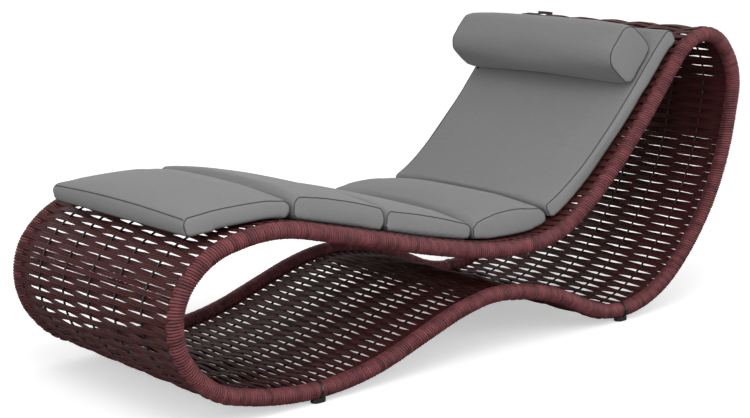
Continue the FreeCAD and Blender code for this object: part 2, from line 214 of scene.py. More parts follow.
class Run:
    """A line of straights and even bends in the XZ plane, with its places told by distance."""

    def __init__(self, place, heading):
        self.place = place
        self.heading = heading
        self.length = 0.0
        self.pieces = []

    def walk(self, place, heading, bend, distance):
        """Place and heading after going a distance, straight on or on an even bend."""
        ahead = heading + bend * distance
        if bend == 0:
            return place + direction(heading) * distance, heading
        chord = Vector((math.sin(ahead) - math.sin(heading), 0,
                        math.cos(heading) - math.cos(ahead)))
        return place + chord / bend, ahead

    def go(self, length, turn=0.0):
        """Goes on by a length, turning evenly by an angle; left turns are positive."""
        if length < TINY:
            return
        bend = turn / length
        self.pieces.append((self.length, self.place, self.heading, bend))
        self.place, self.heading = self.walk(self.place, self.heading, bend, length)
        self.length += length

    def follow(self, other, start, end):
        """Goes on along a stretch of another run."""
        bounds = [piece[0] for piece in other.pieces[1:]] + [end]
        for (begin, _, _, bend), bound in zip(other.pieces, bounds):
            length = min(bound, end) - max(begin, start)
            if length > TINY:
                self.go(length, length * bend)

    def pose(self, distance, level=0.0):
        """Place and heading at a distance, a level outward of the run."""
        begin, place, heading, bend = [p for p in self.pieces if p[0] <= distance + TINY][-1]
        place, heading = self.walk(place, heading, bend, distance - begin)
        return place + direction(heading + math.pi / 2) * level, heading

    def spot(self, distance, level, side=0.0):
        return self.pose(distance, level)[0] + Vector((0, side, 0))


class Outline(Run):
    """The rails' centre line from the middle of the foot end, twice round, with its marks."""

    def __init__(self, rails, shift=Vector()):
        corners = [Vector((x * rails.outline_length, 0, z * rails.outline_height)) + shift
                   for _, x, z in OUTLINE_CORNERS]
        legs = [after - before for before, after in zip(corners, corners[1:] + corners[:1])]
        headings = [math.atan2(leg.z, leg.x) for leg in legs]
        reaches = [min(legs[i - 1].length, legs[i].length) / 2 for i in range(len(legs))]
        super().__init__(corners[-1] + legs[-1] / 2, headings[-1])
        self.arcs = {}
        for lap in range(2):
            for i, (name, _, _) in enumerate(OUTLINE_CORNERS):
                straight = legs[i - 1].length - reaches[i - 1] - reaches[i]
                self.go(legs[-1].length / 2 - reaches[0] if i == 0 else straight)
                turn = (headings[i] - headings[i - 1] + math.pi) % (2 * math.pi) - math.pi
                radius = reaches[i] / math.tan(abs(turn) / 2)
                self.arcs.setdefault(name, (self.length, radius * abs(turn), headings[i - 1],
                                            turn / (radius * abs(turn))))
                self.go(radius * abs(turn), turn)
            self.go(legs[-1].length / 2 - reaches[-1])
        self.lap = self.length / 2
        self.feet = {"front_foot": self.level_place("sole"), "rear_foot": self.level_place("heel")}
        self.crest_top = self.level_place("crest")

    def level_place(self, name):
        """Where a named corner's arc lies level."""
        begin, length, heading, bend = self.arcs[name]
        level = round((heading + bend * length / 2) / math.pi) * math.pi
        return begin + (level - heading) / bend

    def landmark(self, name, distance=0.0):
        """A place by its distance from the middle of a named corner or from a foot."""
        if name in self.feet:
            return self.feet[name] + distance
        begin, length, _, _ = self.arcs[name]
        return begin + length / 2 + distance


def lay_outline():
    """The outline standing on its feet, with its middle over the origin."""
    rails = bpy.context.scene.lounge_rails
    loose = Outline(rails)
    places = [loose.spot(loose.lap * i / 4000, 0) for i in range(4000)]
    low_x = min(place.x for place in places)
    high_x = max(place.x for place in places)
    low_z = min(place.z for place in places)
    return Outline(rails, Vector((-(low_x + high_x) / 2, 0, rails.standing - low_z)))


# Meshes

def add_object(name, data):
    obj = bpy.data.objects.new(name, data)
    bpy.context.scene.collection.objects.link(obj)
    return obj


def line_object(name, points, closed):
    """A bare line of edges, for a node tree to work along."""
    mesh = bpy.data.meshes.new(name)
    edges = [(i, i + 1) for i in range(len(points) - 1)]
    if closed:
        edges.append((len(points) - 1, 0))
    mesh.from_pydata(points, edges, [])
    return add_object(name, mesh)


def plain_mesh(obj):
    """The object's finished shape as a mesh of its own."""
    ready = obj.evaluated_get(bpy.context.evaluated_depsgraph_get())
    return bpy.data.meshes.new_from_object(ready)


def settle(obj):
    """Swaps the object's data for its finished shape and takes its modifiers off."""
    mesh = plain_mesh(obj)
    obj.modifiers.clear()
    old = obj.data
    obj.data = mesh
    bpy.data.meshes.remove(old)
    mesh.name = obj.name


def tube(name, lines, radius, sides, material):
    """Closed tubes along closed lines, joined in one object."""
    curve = bpy.data.curves.new(name, "CURVE")
    curve.dimensions = "3D"
    curve.bevel_depth = radius
    curve.bevel_resolution = (sides - 4) // 2
    for line in lines:
        spline = curve.splines.new("POLY")
        spline.points.add(len(line) - 1)
        for point, place in zip(spline.points, line):
            point.co = (*place, 1)
        spline.use_cyclic_u = True
    source = add_object(name + "_line", curve)
    mesh = plain_mesh(source)
    bpy.data.objects.remove(source)
    bpy.data.curves.remove(curve)
    mesh.materials.clear()
    mesh.materials.append(material)
    mesh.shade_smooth()
    mesh.name = name
    return add_object(name, mesh)


def finish_piece(obj, body, slot, *nodes):
    """Hangs a piece on the empty of the body it rides on and hides the frame's nodes that it stands for.
    The finish it is given is not used.
    """
    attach(obj, body)
    if nodes:
        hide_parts(*nodes)


# Node trees

def node(tree, kind, values=None, **settings):
    """Adds a node with its settings; values are constants or the sockets that feed its inputs."""
    made = tree.nodes.new(kind)
    for key, setting in settings.items():
        setattr(made, key, setting)
    for key, value in (values or {}).items():
        if isinstance(value, bpy.types.NodeSocket):
            tree.links.new(value, made.inputs[key])
        else:
            made.inputs[key].default_value = value
    return made


def geometry_tree(name, inputs):
    """An empty tree with a geometry input, the named inputs and a geometry output."""
    tree = bpy.data.node_groups.new(name, "GeometryNodeTree")
    tree.interface.new_socket(name="Geometry", in_out="INPUT", socket_type="NodeSocketGeometry")
    for label, kind in inputs:
        tree.interface.new_socket(name=label, in_out="INPUT", socket_type=kind)
    tree.interface.new_socket(name="Geometry", in_out="OUTPUT", socket_type="NodeSocketGeometry")
    return tree, tree.nodes.new("NodeGroupInput").outputs


def close_tree(tree, geometry, material):
    """Ends a tree with smooth, realized geometry in one material."""
    smooth = node(tree, "GeometryNodeSetShadeSmooth", {"Geometry": geometry})
    real = node(tree, "GeometryNodeRealizeInstances", {"Geometry": smooth.outputs[0]})
    dressed = node(tree, "GeometryNodeSetMaterial", {"Geometry": real.outputs[0],
                                                     "Material": material})
    node(tree, "NodeGroupOutput", {"Geometry": dressed.outputs[0]})


def run_tree(obj, tree, values):
    """Shapes an object by a tree, its inputs set by name, and settles the result."""
    modifier = obj.modifiers.new(tree.name, "NODES")
    modifier.node_group = tree
    for item in tree.interface.items_tree:
        if item.item_type == "SOCKET" and item.in_out == "INPUT" and item.name in values:
            modifier[item.identifier] = values[item.name]
    obj.update_tag()
    settle(obj)


def stray(tree, geometry, scale, reach):
    """Moves the points of a mesh a little, so that strands lie unevenly."""
    noise = node(tree, "ShaderNodeTexNoise", {"Scale": scale, "Detail": 2.0},
                 noise_dimensions="3D").outputs["Color"]
    centred = node(tree, "ShaderNodeVectorMath", {0: noise, 1: (0.5, 0.5, 0.5)},
                   operation="SUBTRACT").outputs[0]
    shift = node(tree, "ShaderNodeVectorMath", {0: centred, 3: reach}, operation="SCALE")
    return node(tree, "GeometryNodeSetPosition", {"Geometry": geometry,
                                                  "Offset": shift.outputs[0]}).outputs[0]


def winding_tree():
    """Strands wound side by side round a line, over a round core."""
    tree, given = geometry_tree("Winding", [
        ("Radius", "NodeSocketFloat"), ("Strand Width", "NodeSocketFloat"),
        ("Starts", "NodeSocketInt"), ("Turn Points", "NodeSocketInt"),
        ("Sides", "NodeSocketInt"), ("Material", "NodeSocketMaterial")])
    line = node(tree, "GeometryNodeMeshToCurve", {"Mesh": given["Geometry"]}).outputs[0]
    length = node(tree, "GeometryNodeCurveLength", {"Curve": line}).outputs[0]
    lead = node(tree, "ShaderNodeMath", {0: given["Strand Width"], 1: given["Starts"]},
                operation="MULTIPLY").outputs[0]
    share = node(tree, "ShaderNodeMath", {0: length, 1: lead}, operation="DIVIDE").outputs[0]
    turns = node(tree, "ShaderNodeMath", {0: share}, operation="ROUND").outputs[0]
    count = node(tree, "ShaderNodeMath", {0: turns, 1: given["Turn Points"]},
                 operation="MULTIPLY").outputs[0]
    fine = node(tree, "GeometryNodeResampleCurve", {"Curve": line, "Count": count}, mode="COUNT")
    copies = node(tree, "GeometryNodeDuplicateElements", {"Geometry": fine.outputs[0],
                                                          "Amount": given["Starts"]},
                  domain="SPLINE")
    index = node(tree, "GeometryNodeInputIndex").outputs[0]
    steps = node(tree, "ShaderNodeMath", {0: index, 1: given["Turn Points"]},
                 operation="DIVIDE").outputs[0]
    offset = node(tree, "ShaderNodeMath", {0: copies.outputs["Duplicate Index"],
                                           1: given["Starts"]}, operation="DIVIDE").outputs[0]
    turned = node(tree, "ShaderNodeMath", {0: steps, 1: offset}, operation="ADD").outputs[0]
    angle = node(tree, "ShaderNodeMath", {0: turned, 1: 2 * math.pi},
                 operation="MULTIPLY").outputs[0]
    normal = node(tree, "GeometryNodeInputNormal").outputs[0]
    tangent = node(tree, "GeometryNodeInputTangent").outputs[0]
    across = node(tree, "ShaderNodeVectorMath", {0: tangent, 1: normal},
                  operation="CROSS_PRODUCT").outputs[0]
    cosine = node(tree, "ShaderNodeMath", {0: angle}, operation="COSINE").outputs[0]
    sine = node(tree, "ShaderNodeMath", {0: angle}, operation="SINE").outputs[0]
    first = node(tree, "ShaderNodeVectorMath", {0: normal, 3: cosine}, operation="SCALE")
    second = node(tree, "ShaderNodeVectorMath", {0: across, 3: sine}, operation="SCALE")
    outward = node(tree, "ShaderNodeVectorMath", {0: first.outputs[0], 1: second.outputs[0]},
                   operation="ADD").outputs[0]
    half = node(tree, "ShaderNodeMath", {0: given["Strand Width"], 1: 0.5},
                operation="MULTIPLY").outputs[0]
    reach = node(tree, "ShaderNodeMath", {0: given["Radius"], 1: half},
                 operation="SUBTRACT").outputs[0]
    push = node(tree, "ShaderNodeVectorMath", {0: outward, 3: reach}, operation="SCALE").outputs[0]
    shade = node(tree, "ShaderNodeTexNoise", {"W": turned, "Scale": 0.8, "Detail": 3.0,
                                              "Roughness": 0.7}, noise_dimensions="1D")
    marked = node(tree, "GeometryNodeStoreNamedAttribute",
                  {"Geometry": copies.outputs[0], "Name": "strand_shade",
                   "Value": shade.outputs["Fac"]},
                  data_type="FLOAT", domain="POINT").outputs[0]
    wound = node(tree, "GeometryNodeSetPosition", {"Geometry": marked, "Offset": push}).outputs[0]
    ring = node(tree, "GeometryNodeCurvePrimitiveCircle", {"Resolution": given["Sides"],
                                                           "Radius": half}).outputs[0]
    strands = node(tree, "GeometryNodeCurveToMesh", {"Curve": wound, "Profile Curve": ring,
                                                     "Fill Caps": True}).outputs[0]
    coarse = node(tree, "GeometryNodeResampleCurve", {"Curve": line, "Length": 0.012},
                  mode="LENGTH").outputs[0]
    core_ring = node(tree, "GeometryNodeCurvePrimitiveCircle", {"Resolution": 12,
                                                                "Radius": reach}).outputs[0]
    core = node(tree, "GeometryNodeCurveToMesh", {"Curve": coarse, "Profile Curve": core_ring,
                                                  "Fill Caps": True}).outputs[0]
    both = node(tree, "GeometryNodeJoinGeometry", {"Geometry": strands})
    tree.links.new(core, both.inputs[0])
    close_tree(tree, stray(tree, both.outputs[0], WINDING_STRAY_SCALE, WINDING_STRAY), given["Material"])
    return tree


def weave_tree():
    """Rows of strands across a line, each over one stake and under the next.

    Every second row is the same shape turned over. At the rails a row rises by Rail Rise and
    then dips by End Dip, so that its end goes in under the winding.
    """
    tree, given = geometry_tree("Woven rows", [
        ("Rows", "NodeSocketInt"), ("First Row", "NodeSocketInt"),
        ("Half Width", "NodeSocketFloat"), ("Stake Spacing", "NodeSocketFloat"),
        ("Swing", "NodeSocketFloat"), ("Rail Rise", "NodeSocketFloat"),
        ("End Dip", "NodeSocketFloat"), ("Strand", "NodeSocketFloat"),
        ("Strand Pitch", "NodeSocketFloat"), ("Strands", "NodeSocketInt"),
        ("Points", "NodeSocketInt"), ("Sides", "NodeSocketInt"),
        ("Wander", "NodeSocketFloat"), ("Seed", "NodeSocketInt"),
        ("Material", "NodeSocketMaterial")])
    minus = node(tree, "ShaderNodeMath", {0: given["Half Width"], 1: -1.0},
                 operation="MULTIPLY").outputs[0]
    start = node(tree, "ShaderNodeCombineXYZ", {"Y": minus}).outputs[0]
    end = node(tree, "ShaderNodeCombineXYZ", {"Y": given["Half Width"]}).outputs[0]
    straight = node(tree, "GeometryNodeCurvePrimitiveLine", {"Start": start, "End": end})
    fine = node(tree, "GeometryNodeResampleCurve", {"Curve": straight.outputs[0],
                                                    "Count": given["Points"]}, mode="COUNT")
    copies = node(tree, "GeometryNodeDuplicateElements", {"Geometry": fine.outputs[0],
                                                          "Amount": given["Strands"]},
                  domain="SPLINE")
    place = node(tree, "GeometryNodeInputPosition").outputs[0]
    side = node(tree, "ShaderNodeSeparateXYZ", {0: place}).outputs["Y"]
    share = node(tree, "ShaderNodeMath", {0: side, 1: given["Stake Spacing"]},
                 operation="DIVIDE").outputs[0]
    angle = node(tree, "ShaderNodeMath", {0: share, 1: math.pi}, operation="MULTIPLY").outputs[0]
    wave = node(tree, "ShaderNodeMath", {0: angle}, operation="COSINE").outputs[0]
    reach = node(tree, "ShaderNodeMath", {0: side}, operation="ABSOLUTE").outputs[0]
    left = node(tree, "ShaderNodeMath", {0: given["Half Width"], 1: reach},
                operation="SUBTRACT").outputs[0]
    rise = node(tree, "ShaderNodeMapRange", {
        "Value": left, "From Min": RISE_START, "From Max": RISE_END, "To Min": given["Swing"],
        "To Max": given["Rail Rise"]}, interpolation_type="SMOOTHSTEP").outputs[0]
    dip = node(tree, "ShaderNodeMapRange", {
        "Value": left, "From Min": DIP_START, "From Max": 0.0, "To Min": 0.0,
        "To Max": given["End Dip"]}, interpolation_type="SMOOTHSTEP").outputs[0]
    swing = node(tree, "ShaderNodeMath", {0: rise, 1: dip}, operation="SUBTRACT").outputs[0]
    height = node(tree, "ShaderNodeMath", {0: wave, 1: swing}, operation="MULTIPLY").outputs[0]
    last = node(tree, "ShaderNodeMath", {0: given["Strands"], 1: 1.0},
                operation="SUBTRACT").outputs[0]
    middle = node(tree, "ShaderNodeMath", {0: last, 1: 0.5}, operation="MULTIPLY").outputs[0]
    order = node(tree, "ShaderNodeMath", {0: copies.outputs["Duplicate Index"], 1: middle},
                 operation="SUBTRACT").outputs[0]
    beside = node(tree, "ShaderNodeMath", {0: order, 1: given["Strand Pitch"]},
                  operation="MULTIPLY").outputs[0]
    spot = node(tree, "ShaderNodeCombineXYZ", {"X": beside, "Y": side, "Z": height}).outputs[0]
    waved = node(tree, "GeometryNodeSetPosition", {"Geometry": copies.outputs[0],
                                                   "Position": spot}).outputs[0]
    radius = node(tree, "ShaderNodeMath", {0: given["Strand"], 1: 0.5},
                  operation="MULTIPLY").outputs[0]
    ring = node(tree, "GeometryNodeCurvePrimitiveCircle", {"Resolution": given["Sides"],
                                                           "Radius": radius}).outputs[0]
    row = node(tree, "GeometryNodeCurveToMesh", {"Curve": waved, "Profile Curve": ring,
                                                 "Fill Caps": True}).outputs[0]
    line = node(tree, "GeometryNodeMeshToCurve", {"Mesh": given["Geometry"]}).outputs[0]
    places = node(tree, "GeometryNodeResampleCurve", {"Curve": line, "Count": given["Rows"]},
                  mode="COUNT").outputs[0]
    tangent = node(tree, "GeometryNodeInputTangent").outputs[0]
    parts = node(tree, "ShaderNodeSeparateXYZ", {0: tangent}).outputs
    heading = node(tree, "ShaderNodeMath", {0: parts["Z"], 1: parts["X"]},
                   operation="ARCTAN2").outputs[0]
    lean = node(tree, "ShaderNodeMath", {0: heading, 1: -1.0}, operation="MULTIPLY").outputs[0]
    index = node(tree, "GeometryNodeInputIndex").outputs[0]
    number = node(tree, "ShaderNodeMath", {0: index, 1: given["First Row"]},
                  operation="ADD").outputs[0]
    odd = node(tree, "ShaderNodeMath", {0: number, 1: 2.0}, operation="MODULO").outputs[0]
    flip = node(tree, "ShaderNodeMath", {0: odd, 1: math.pi}, operation="MULTIPLY").outputs[0]
    turn = node(tree, "ShaderNodeCombineXYZ", {"X": flip, "Y": lean}).outputs[0]
    rows = node(tree, "GeometryNodeInstanceOnPoints", {"Points": places, "Instance": row,
                                                       "Rotation": turn}).outputs[0]
    shade = node(tree, "FunctionNodeRandomValue", {2: 0.35, 3: 0.65, "Seed": given["Seed"]},
                 data_type="FLOAT")
    marked = node(tree, "GeometryNodeStoreNamedAttribute",
                  {"Geometry": rows, "Name": "strand_shade", "Value": shade.outputs[1]},
                  data_type="FLOAT", domain="INSTANCE").outputs[0]
    real = node(tree, "GeometryNodeRealizeInstances", {"Geometry": marked}).outputs[0]
    amount = node(tree, "ShaderNodeMath", {0: given["Wander"], 1: 4.0},
                  operation="MULTIPLY").outputs[0]
    close_tree(tree, stray(tree, real, ROW_STRAY_SCALE, amount), given["Material"])
    return tree


# Materials

def new_material(name):
    """A node material with an empty tree; gives the material, its tree and its shader."""
    material = bpy.data.materials.new(name)
    material.use_nodes = True
    tree = material.node_tree
    tree.nodes.clear()
    shader = tree.nodes.new("ShaderNodeBsdfPrincipled")
    node(tree, "ShaderNodeOutputMaterial", {"Surface": shader.outputs[0]})
    return material, tree, shader


def resin_strand(name, colour, along, spread):
    """Extruded polyethylene strand: satin, with fine drawn lines and uneven dye.

    The streaks run the strand's own way, drawn about 2 mm wide, coarser than the real 0.5 mm.
    """
    material, tree, shader = new_material(name)
    place = node(tree, "ShaderNodeTexCoord").outputs["Object"]
    stretched = node(tree, "ShaderNodeMapping", {"Vector": place, "Scale": along}).outputs[0]
    streaks = node(tree, "ShaderNodeTexNoise", {"Vector": stretched, "Scale": 500.0,
                                                "Detail": 3.0}).outputs["Fac"]
    patches = node(tree, "ShaderNodeTexNoise", {"Vector": place, "Scale": 30.0,
                                                "Detail": 2.0}).outputs["Fac"]
    shade = node(tree, "ShaderNodeAttribute", attribute_name="strand_shade").outputs["Fac"]
    mixed = node(tree, "ShaderNodeMath", {0: streaks, 1: patches}, operation="ADD").outputs[0]
    total = node(tree, "ShaderNodeMath", {0: mixed, 1: shade}, operation="ADD").outputs[0]
    tint = node(tree, "ShaderNodeMapRange", {"Value": total, "From Min": 1.0, "From Max": 2.0,
                                             "To Min": 1 - spread, "To Max": 1 + spread})
    base = node(tree, "ShaderNodeVectorMath", {0: tuple(colour), 3: tint.outputs[0]},
                operation="SCALE").outputs[0]
    tree.links.new(base, shader.inputs["Base Color"])
    rough = node(tree, "ShaderNodeMapRange", {"Value": streaks, "To Min": 0.45, "To Max": 0.65})
    tree.links.new(rough.outputs[0], shader.inputs["Roughness"])
    bump = node(tree, "ShaderNodeBump", {"Height": streaks, "Strength": 0.5, "Distance": 0.0006})
    tree.links.new(bump.outputs[0], shader.inputs["Normal"])
    shader.inputs["IOR"].default_value = 1.51
    shader.inputs["Specular IOR Level"].default_value = 0.35
    return material


def pad_cloth(name, colour):
    """Woven polyester cover: matt, a fine plain weave with a soft fuzz at grazing angles.

    Its threads are 0.4 mm apart; the pattern is drawn at 1.6 mm, so that it shows in the render.
    """
    material, tree, shader = new_material(name)
    place = node(tree, "ShaderNodeTexCoord").outputs["Object"]
    threads = node(tree, "ShaderNodeTexNoise", {"Vector": place, "Scale": 620.0, "Detail": 2.0,
                                                "Roughness": 0.7}).outputs["Fac"]
    slubs = node(tree, "ShaderNodeMapping", {"Vector": place, "Scale": (1.0, 0.12, 1.0)})
    lines = node(tree, "ShaderNodeTexNoise", {"Vector": slubs.outputs[0], "Scale": 420.0,
                                              "Detail": 1.0}).outputs["Fac"]
    wear = node(tree, "ShaderNodeTexNoise", {"Vector": place, "Scale": 9.0,
                                             "Detail": 3.0}).outputs["Fac"]
    fine = node(tree, "ShaderNodeMath", {0: threads, 1: lines}, operation="ADD").outputs[0]
    tone = node(tree, "ShaderNodeMapRange", {"Value": fine, "From Min": 0.6, "From Max": 1.4,
                                             "To Min": 0.93, "To Max": 1.07}).outputs[0]
    worn = node(tree, "ShaderNodeMapRange", {"Value": wear, "To Min": 0.96,
                                             "To Max": 1.04}).outputs[0]
    both = node(tree, "ShaderNodeMath", {0: tone, 1: worn}, operation="MULTIPLY").outputs[0]
    base = node(tree, "ShaderNodeVectorMath", {0: tuple(colour), 3: both},
                operation="SCALE").outputs[0]
    tree.links.new(base, shader.inputs["Base Color"])
    bump = node(tree, "ShaderNodeBump", {"Height": fine, "Strength": 0.35, "Distance": 0.0005})
    tree.links.new(bump.outputs[0], shader.inputs["Normal"])
    shader.inputs["Roughness"].default_value = 0.9
    shader.inputs["Sheen Weight"].default_value = 0.15
    shader.inputs["Sheen Roughness"].default_value = 0.4
    shader.inputs["Specular IOR Level"].default_value = 0.25
    return material


def moulded_nylon(name, colour, roughness):
    """Injection-moulded nylon: near black, satin, with the mould's fine grain."""
    material, tree, shader = new_material(name)
    place = node(tree, "ShaderNodeTexCoord").outputs["Object"]
    grain = node(tree, "ShaderNodeTexNoise", {"Vector": place, "Scale": 900.0,
                                              "Detail": 2.0}).outputs["Fac"]
    tone = node(tree, "ShaderNodeMapRange", {"Value": grain, "To Min": 0.85, "To Max": 1.15})
    base = node(tree, "ShaderNodeVectorMath", {0: tuple(colour), 3: tone.outputs[0]},
                operation="SCALE").outputs[0]
    tree.links.new(base, shader.inputs["Base Color"])
    rough = node(tree, "ShaderNodeMapRange", {"Value": grain, "To Min": roughness - 0.06,
                                              "To Max": roughness + 0.06})
    tree.links.new(rough.outputs[0], shader.inputs["Roughness"])
    bump = node(tree, "ShaderNodeBump", {"Height": grain, "Strength": 0.25, "Distance": 0.0003})
    tree.links.new(bump.outputs[0], shader.inputs["Normal"])
    shader.inputs["IOR"].default_value = 1.53
    return material


def webbing(name, colour):
    """Woven polyester webbing: matt, ribbed across its width every 1.5 mm."""
    material, tree, shader = new_material(name)
    place = node(tree, "ShaderNodeTexCoord").outputs["Object"]
    ribs = node(tree, "ShaderNodeTexWave", {"Vector": place, "Scale": 210.0, "Distortion": 0.6,
                                            "Detail": 1.0}, bands_direction="Y").outputs["Fac"]
    tone = node(tree, "ShaderNodeMapRange", {"Value": ribs, "To Min": 0.8, "To Max": 1.25})
    base = node(tree, "ShaderNodeVectorMath", {0: tuple(colour), 3: tone.outputs[0]},
                operation="SCALE").outputs[0]
    tree.links.new(base, shader.inputs["Base Color"])
    bump = node(tree, "ShaderNodeBump", {"Height": ribs, "Strength": 0.5, "Distance": 0.0004})
    tree.links.new(bump.outputs[0], shader.inputs["Normal"])
    shader.inputs["Roughness"].default_value = 0.8
    return material


# Padded pieces

def pad_height(share, heights):
    """Height of a pad's edges at a share of its length."""
    first, middle, last = heights
    return (first * (1 - share) * (1 - 2 * share) + middle * 4 * share * (1 - share)
            + last * share * (2 * share - 1))


def rounded_loop(length, heights, corner, spacing):
    """A pad's side panel as places (distance, level) round its edge, its corners rounded."""
    loop = []
    for turn, (end, way) in enumerate(((1, 1), (0, -1))):
        steps = max(2, round((length - 2 * corner) / spacing))
        for step in range(steps + 1):
            share = (corner + (length - 2 * corner) * step / steps) / length
            if turn:
                share = 1 - share
            loop.append((share * length, pad_height(share, heights) if turn else 0.0))
        high = pad_height(end, heights)
        centre = length - corner if end else corner
        for step in range(1, 12):
            angle = math.pi * step / 12
            level = high / 2 - math.cos(angle) * (high / 2) if not turn else (
                high / 2 + math.cos(angle) * (high / 2))
            reach = corner * (1 - abs(math.cos(angle)) ** 4)
            loop.append((centre + way * reach, level))
    return loop


def strip_mesh(name, loop, sides, place):
    """A closed mesh from one loop repeated across, each place found by place(point, side)."""
    shape = bmesh.new()
    rings = [[shape.verts.new(place(point, side)) for point in loop] for side in sides]
    for before, after in zip(rings, rings[1:]):
        for i in range(len(loop)):
            j = (i + 1) % len(loop)
            shape.faces.new((before[i], before[j], after[j], after[i]))
    shape.faces.new(rings[0][::-1])
    shape.faces.new(rings[-1])
    bmesh.ops.recalc_face_normals(shape, faces=shape.faces)
    mesh = bpy.data.meshes.new(name)
    shape.to_mesh(mesh)
    shape.free()
    return mesh


def near_seams(mesh, seams):
    """Distance from each of the mesh's points to the nearest seam."""
    spots = [Vector(point) for seam in seams for point in seam]
    tree = KDTree(len(spots))
    for i, spot in enumerate(spots):
        tree.insert(spot, i)
    tree.balance()
    return [tree.find(vertex.co)[2] for vertex in mesh.vertices]


def inflate(obj, seams, outward, limits):
    """Remeshes a padded piece finely and lets cloth under pressure swell it between its seams.

    Limits are how far panels may move sideways and outwards. Seams stay where they are.
    """
    pads = bpy.context.scene.lounge_pads
    remesh = obj.modifiers.new("Remesh", "REMESH")
    remesh.mode = "VOXEL"
    remesh.voxel_size = pads.grain
    settle(obj)
    before = [vertex.co.copy() for vertex in obj.data.vertices]
    normals = [vertex.normal.copy() for vertex in obj.data.vertices]
    distances = near_seams(obj.data, seams)
    group = obj.vertex_groups.new(name="seam")
    for i, distance in enumerate(distances):
        group.add([i], max(0.0, 1 - distance / (1.5 * pads.grain)), "REPLACE")
    cloth = obj.modifiers.new("Cloth", "CLOTH")
    cloth.settings.quality = 3
    cloth.settings.mass = 0.25
    cloth.settings.use_pressure = True
    cloth.settings.uniform_pressure_force = pads.pressure
    cloth.settings.vertex_group_mass = "seam"
    cloth.settings.effector_weights.gravity = 0
    scene = bpy.context.scene
    for step in range(1, 21):
        scene.frame_set(step)
        bpy.context.view_layer.update()
    settle(obj)
    scene.frame_set(1)
    obj.vertex_groups.clear()
    sideways, outwards = limits
    for vertex, start, normal in zip(obj.data.vertices, before, normals):
        facing = max(0.0, normal.dot(outward))
        limit = sideways + (outwards - sideways) * facing ** 2
        move = vertex.co - start
        if move.length > limit:
            move *= limit / move.length
        vertex.co = start + move


def draw_in_seams(obj, seams, depth, width):
    """Pulls the cloth in along its seams."""
    distances = near_seams(obj.data, seams)
    for vertex, distance in zip(obj.data.vertices, distances):
        if distance < 3 * width:
            vertex.co -= vertex.normal * depth * math.exp(-(distance / width) ** 2)


def finish_padding(obj, seams):
    """Smooths an inflated piece and draws its seams in."""
    smooth = obj.modifiers.new("Smooth", "SMOOTH")
    smooth.factor = 0.5
    smooth.iterations = 4
    fine = obj.modifiers.new("Subdivision", "SUBSURF")
    fine.levels = 1
    fine.render_levels = 1
    settle(obj)
    draw_in_seams(obj, seams, 0.0012, 0.0035)
    obj.data.shade_smooth()


def seam_on(obj, seam):
    """A seam's places moved onto the finished cloth."""
    placed = []
    for point in seam:
        found, spot, normal, _ = obj.closest_point_on_mesh(point)
        placed.append(spot + normal * 0.0004 if found else Vector(point))
    return placed


# Pieces

def outline_line(outline, start, end, level, side, spacing):
    steps = max(2, round((end - start) / spacing))
    return [outline.spot(start + (end - start) * i / steps, level, side)
            for i in range(steps + 1)]


class LOUNGE_OT_rails(bpy.types.Operator):
    """Winds strands round both looped rails"""
    bl_idname = "lounge.rails"
    bl_label = "Rails"

    def execute(self, context):
        rails = context.scene.lounge_rails
        outline = lay_outline()
        tree = winding_tree()
        material = resin_strand("Wound polyethylene strand", context.scene.lounge_colours.winding,
                                (1.0, 1.0, 1.0), 0.8)
        for hand, side in (("left", -rails.gauge / 2), ("right", rails.gauge / 2)):
            line = outline_line(outline, 0, outline.lap, 0, side, 0.004)[:-1]
            obj = line_object("rail_winding_" + hand, line, True)
            run_tree(obj, tree, {"Radius": rails.radius, "Strand Width": rails.strand,
                                 "Starts": rails.starts, "Turn Points": rails.turn_points,
                                 "Sides": 5, "Material": material})
            finish_piece(obj, "frame", "wrapped_pole", "upper_rail_" + hand, "lower_rail_" + hand)
        return {"FINISHED"}


class LOUNGE_OT_bars(bpy.types.Operator):
    """Winds strands round the cross bars"""
    bl_idname = "lounge.bars"
    bl_label = "Cross bars"

    def execute(self, context):
        rails = context.scene.lounge_rails
        weave = context.scene.lounge_weave
        outline = lay_outline()
        tree = winding_tree()
        material = resin_strand("Wound bar strand", context.scene.lounge_colours.weave,
                                (1.0, 1.0, 1.0), 0.3)
        half = rails.gauge / 2 - math.sqrt(rails.radius ** 2 - weave.bar_level ** 2)
        for name, mark, distance in CROSS_BARS:
            middle = outline.spot(outline.landmark(mark, distance), weave.bar_level)
            ends = [middle + Vector((0, side, 0)) for side in (-half, 0, half)]
            obj = line_object(name + "_winding", ends, False)
            run_tree(obj, tree, {"Radius": weave.bar_radius, "Strand Width": 0.004,
                                 "Starts": 2, "Turn Points": 8, "Sides": 4,
                                 "Material": material})
            finish_piece(obj, "frame", "cross_bar", name)
        return {"FINISHED"}


class LOUNGE_OT_stakes(bpy.types.Operator):
    """Runs the stakes round the loop"""
    bl_idname = "lounge.stakes"
    bl_label = "Stakes"

    def execute(self, context):
        rails = context.scene.lounge_rails
        weave = context.scene.lounge_weave
        outline = lay_outline()
        sides = [rails.gauge * ((i + 1) / (weave.stakes + 1) - 0.5) for i in range(weave.stakes)]
        lines = [outline_line(outline, 0, outline.lap, weave.level, side, 0.015)[:-1]
                 for side in sides]
        material = moulded_nylon("Powder-coated steel rod", context.scene.lounge_colours.stake,
                                 0.5)
        obj = tube("stake_rods", lines, weave.stake_radius, 8, material)
        finish_piece(obj, "frame", "stake", *["stake_" + str(i + 1) for i in range(weave.stakes)])
        return {"FINISHED"}


